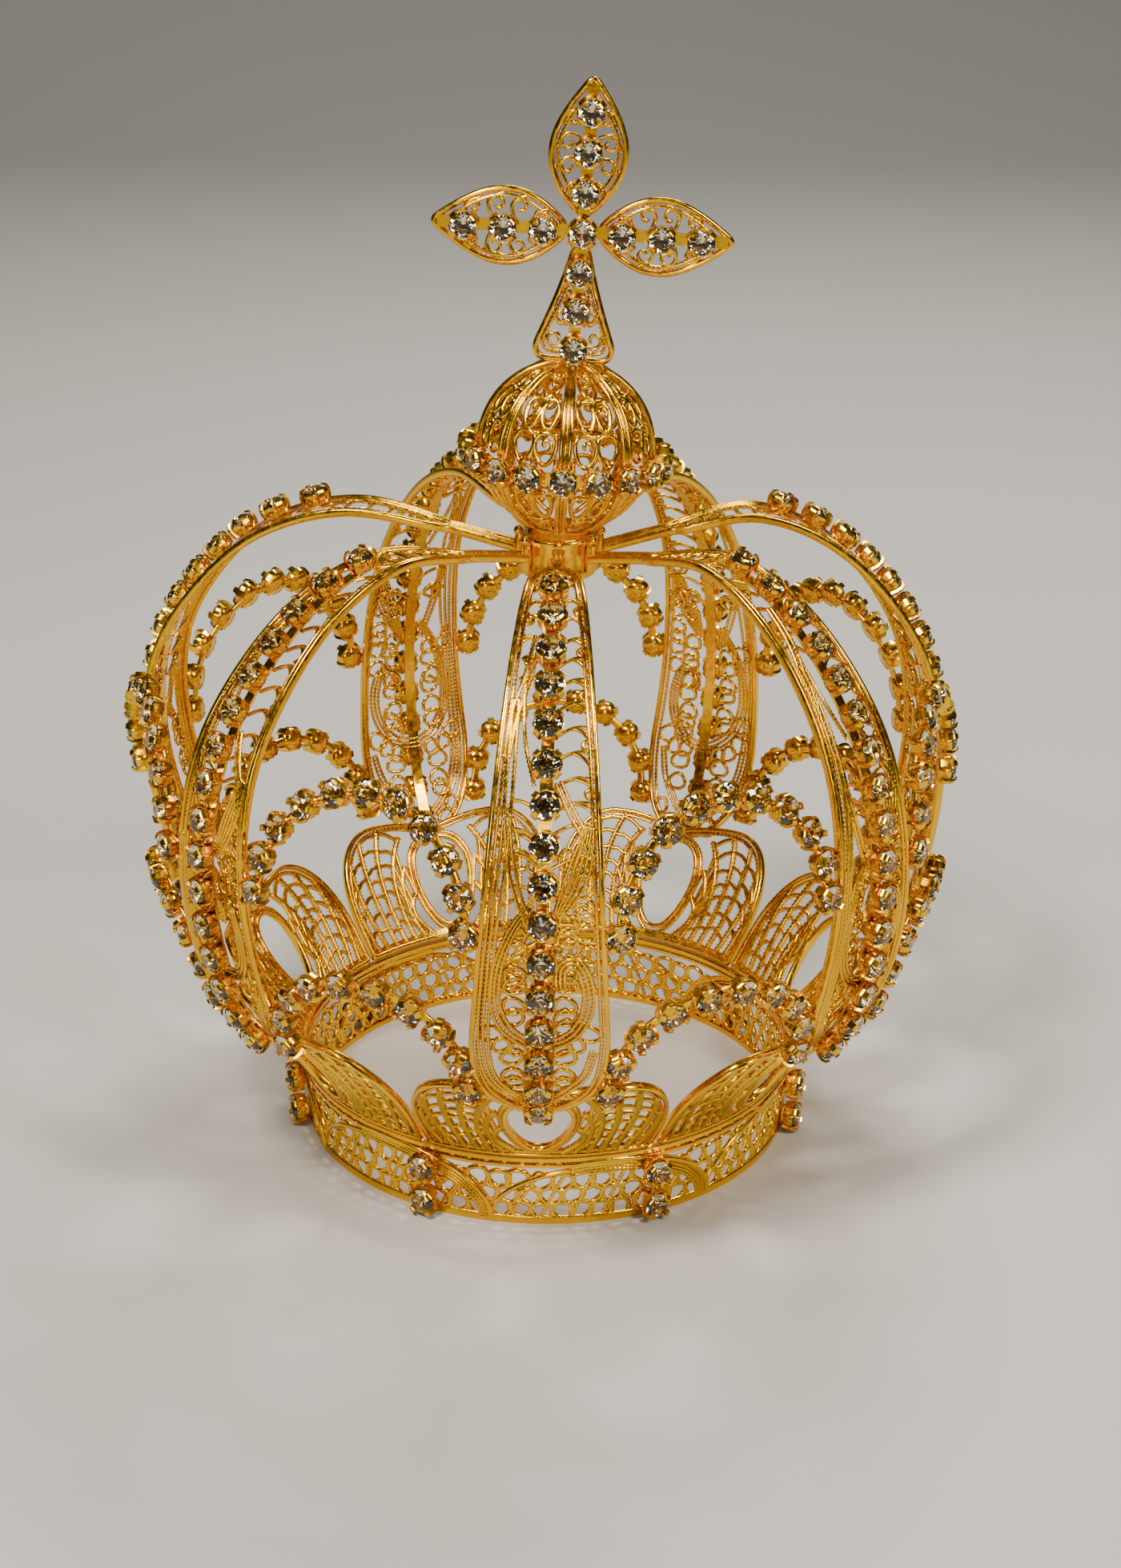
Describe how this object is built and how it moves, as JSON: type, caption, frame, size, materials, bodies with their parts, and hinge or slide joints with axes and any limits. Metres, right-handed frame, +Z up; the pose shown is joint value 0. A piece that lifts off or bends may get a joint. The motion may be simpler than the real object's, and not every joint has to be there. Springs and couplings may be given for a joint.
{
  "type": "closed arched crown",
  "caption": "Small gilt openwork crown with arches meeting under a ball and cross, set with clear stones in claw cups.",
  "frame": {"origin": "centre of the base band's underside, the plane that the crown stands on", "axes": "+Z up along the crown's axis, -Y towards the front arch and the stones of the cross, +X to the right seen from the front"},
  "size_m": [0.1391, 0.1332, 0.1747],
  "materials": {
    "gilt": "polished gilt wire",
    "crystal": "clear cut stones in gilt claw cups"
  },
  "bodies": {
    "root": {"base_band": "gilt", "neck_collar": "gilt", "orb": "gilt", "leaf_1": "gilt", "leaf_2": "gilt", "leaf_3": "gilt", "leaf_4": "gilt", "leaf_5": "gilt", "leaf_6": "gilt", "leaf_7": "gilt", "arch_1": "gilt", "arch_2": "gilt", "arch_3": "gilt", "arch_4": "gilt", "arch_5": "gilt", "arch_6": "gilt", "arch_7": "gilt", "cross_arm_top": "gilt", "cross_arm_right": "gilt", "cross_arm_left": "gilt", "cross_arm_foot": "gilt", "arch_stones_1": "crystal", "arch_stones_2": "crystal", "arch_stones_3": "crystal", "arch_stones_4": "crystal", "arch_stones_5": "crystal", "arch_stones_6": "crystal", "arch_stones_7": "crystal", "upper_hoop_1": "crystal", "upper_hoop_2": "crystal", "upper_hoop_3": "crystal", "upper_hoop_4": "crystal", "upper_hoop_5": "crystal", "upper_hoop_6": "crystal", "upper_hoop_7": "crystal", "lower_hoop_1": "crystal", "lower_hoop_2": "crystal", "lower_hoop_3": "crystal", "lower_hoop_4": "crystal", "lower_hoop_5": "crystal", "lower_hoop_6": "crystal", "lower_hoop_7": "crystal", "band_stones_1": "crystal", "band_stones_2": "crystal", "band_stones_3": "crystal", "band_stones_4": "crystal", "band_stones_5": "crystal", "band_stones_6": "crystal", "band_stones_7": "crystal", "orb_stone_ring": "crystal", "cross_stones_bar": "crystal", "cross_stones_top": "crystal", "cross_stones_foot": "crystal"}
  },
  "joints": []
}
